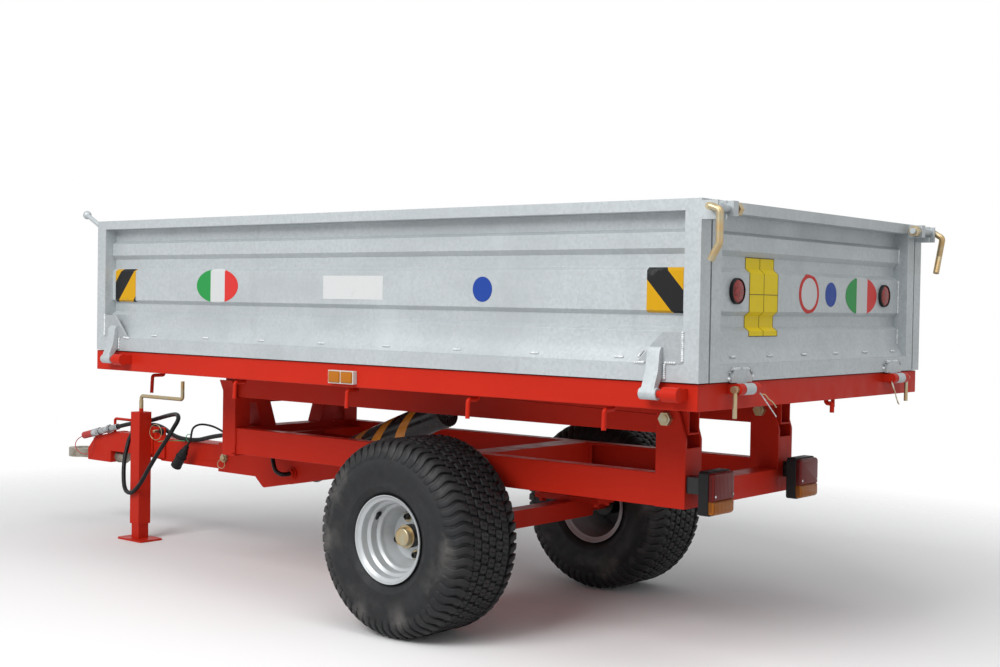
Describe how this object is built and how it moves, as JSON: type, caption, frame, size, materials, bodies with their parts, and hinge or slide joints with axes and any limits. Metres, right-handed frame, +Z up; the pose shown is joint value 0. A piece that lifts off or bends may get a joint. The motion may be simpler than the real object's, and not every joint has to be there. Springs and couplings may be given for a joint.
{
  "type": "tipping trailer",
  "caption": "Single-axle tipping trailer with drop-side corrugated body, red chassis with drawbar and towing eye, hydraulic ram, turf tyres and a wind-up jack.",
  "frame": {"origin": "on the ground under the middle of the whole trailer's length and width", "axes": "+X points forward to the towing eye, +Y to the left side, +Z up"},
  "size_m": [3.143, 1.212, 1.117],
  "materials": {
    "red_paint": "gloss",
    "galvanised_steel": "satin",
    "yellow_zinc": "satin",
    "bright_steel": "satin",
    "black_paint": "satin",
    "black_plastic": "matte",
    "red_lens": "gloss",
    "amber_lens": "gloss",
    "black_rubber": "matte",
    "cable_jacket": "matte",
    "tyre": "matte",
    "silver_paint": "satin",
    "chromed_rod": "polished"
  },
  "bodies": {
    "chassis": {"chassis_rail_left": "red_paint", "chassis_rail_right": "red_paint", "rear_cross_member": "red_paint", "middle_cross_member": "red_paint", "front_cross_member": "red_paint", "rear_upright_left": "red_paint", "rear_upright_right": "red_paint", "front_support": "red_paint", "tip_bolts": "yellow_zinc", "axle_beam": "red_paint", "cylinder_cradle": "red_paint", "cylinder_base_pin": "yellow_zinc", "drawbar_sleeve": "red_paint", "drawbar": "red_paint", "drawbar_pin": "yellow_zinc", "drawbar_head": "red_paint", "jack_bracket": "red_paint", "jack_tube": "red_paint", "jack_crank": "yellow_zinc", "lamp_brackets": "black_paint", "lamp_housings": "black_plastic", "red_lenses": "red_lens", "amber_lenses": "amber_lens", "hydraulic_hose": "black_rubber", "hose_coupler": "bright_steel", "lamp_cable": "cable_jacket", "lamp_plug": "black_plastic", "cylinder_hose": "black_rubber"},
    "towing_eye": {"towing_eye": "bright_steel"},
    "jack_leg": {"jack_leg": "red_paint"},
    "wheel_left": {"tyre_left": "tyre", "rim_left": "silver_paint", "hub_left": "yellow_zinc"},
    "wheel_right": {"tyre_right": "tyre", "rim_right": "silver_paint", "hub_right": "yellow_zinc"},
    "ram_barrel": {"cylinder_barrel": "black_paint"},
    "ram_rod": {"cylinder_rod": "chromed_rod"},
    "bed": {"bed_bearer_left": "red_paint", "bed_bearer_right": "red_paint", "bed_frame": "red_paint", "floor_sheet": "galvanised_steel", "cylinder_bracket": "red_paint", "gate_pins_left": "red_paint", "gate_pins_right": "red_paint", "tailgate_lugs": "red_paint", "front_wall_frame": "galvanised_steel", "front_wall_sheet": "galvanised_steel", "rope_hooks": "red_paint", "marker_lamps": "amber_lens"},
    "side_gate_left": {"side_gate_frame_left": "galvanised_steel", "side_gate_sheet_left": "galvanised_steel", "side_gate_latch_left": "galvanised_steel"},
    "side_gate_right": {"side_gate_frame_right": "galvanised_steel", "side_gate_sheet_right": "galvanised_steel", "side_gate_latch_right": "galvanised_steel"},
    "tailgate": {"tailgate_frame": "galvanised_steel", "tailgate_sheet": "galvanised_steel", "tailgate_bolts": "yellow_zinc"}
  },
  "joints": [
    {"name": "bed_tip", "type": "hinge", "parent": "chassis", "child": "bed", "pos_m": [-1.2415, 0, 0.585], "axis": [0, -1, 0], "range_deg": [0, 45]},
    {"name": "ram_swing", "type": "hinge", "parent": "chassis", "child": "ram_barrel", "pos_m": [0.2885, 0, 0.3], "axis": [0, 1, 0], "range_deg": [0, 19.69]},
    {"name": "ram_stroke", "type": "slide", "parent": "ram_barrel", "child": "ram_rod", "axis": [-0.9311, 0, 0.3649], "range_m": [0, 0.4978]},
    {"name": "side_gate_left_drop", "type": "hinge", "parent": "bed", "child": "side_gate_left", "pos_m": [-0.4465, 0.59, 0.667], "axis": [-1, 0, 0], "range_deg": [0, 175]},
    {"name": "side_gate_right_drop", "type": "hinge", "parent": "bed", "child": "side_gate_right", "pos_m": [-0.4465, -0.59, 0.667], "axis": [1, 0, 0], "range_deg": [0, 175]},
    {"name": "tailgate_drop", "type": "hinge", "parent": "bed", "child": "tailgate", "pos_m": [-1.5295, 0, 0.676], "axis": [0, -1, 0], "range_deg": [0, 175]},
    {"name": "wheel_left_spin", "type": "hinge", "parent": "chassis", "child": "wheel_left", "pos_m": [-0.6035, 0.439, 0.254], "axis": [0, 1, 0], "continuous": true},
    {"name": "wheel_right_spin", "type": "hinge", "parent": "chassis", "child": "wheel_right", "pos_m": [-0.6035, -0.439, 0.254], "axis": [0, 1, 0], "continuous": true},
    {"name": "towing_eye_swivel", "type": "hinge", "parent": "chassis", "child": "towing_eye", "pos_m": [1.3765, 0, 0.268], "axis": [1, 0, 0], "continuous": true},
    {"name": "jack_extend", "type": "slide", "parent": "chassis", "child": "jack_leg", "axis": [0, 0, -1], "range_m": [0, 0.25]}
  ],
  "couplings": [
    {"joint": "ram_swing", "follows": "bed_tip", "ratio": 0.43531},
    {"joint": "ram_stroke", "follows": "bed_tip", "m_per_rad": 0.6325}
  ]
}
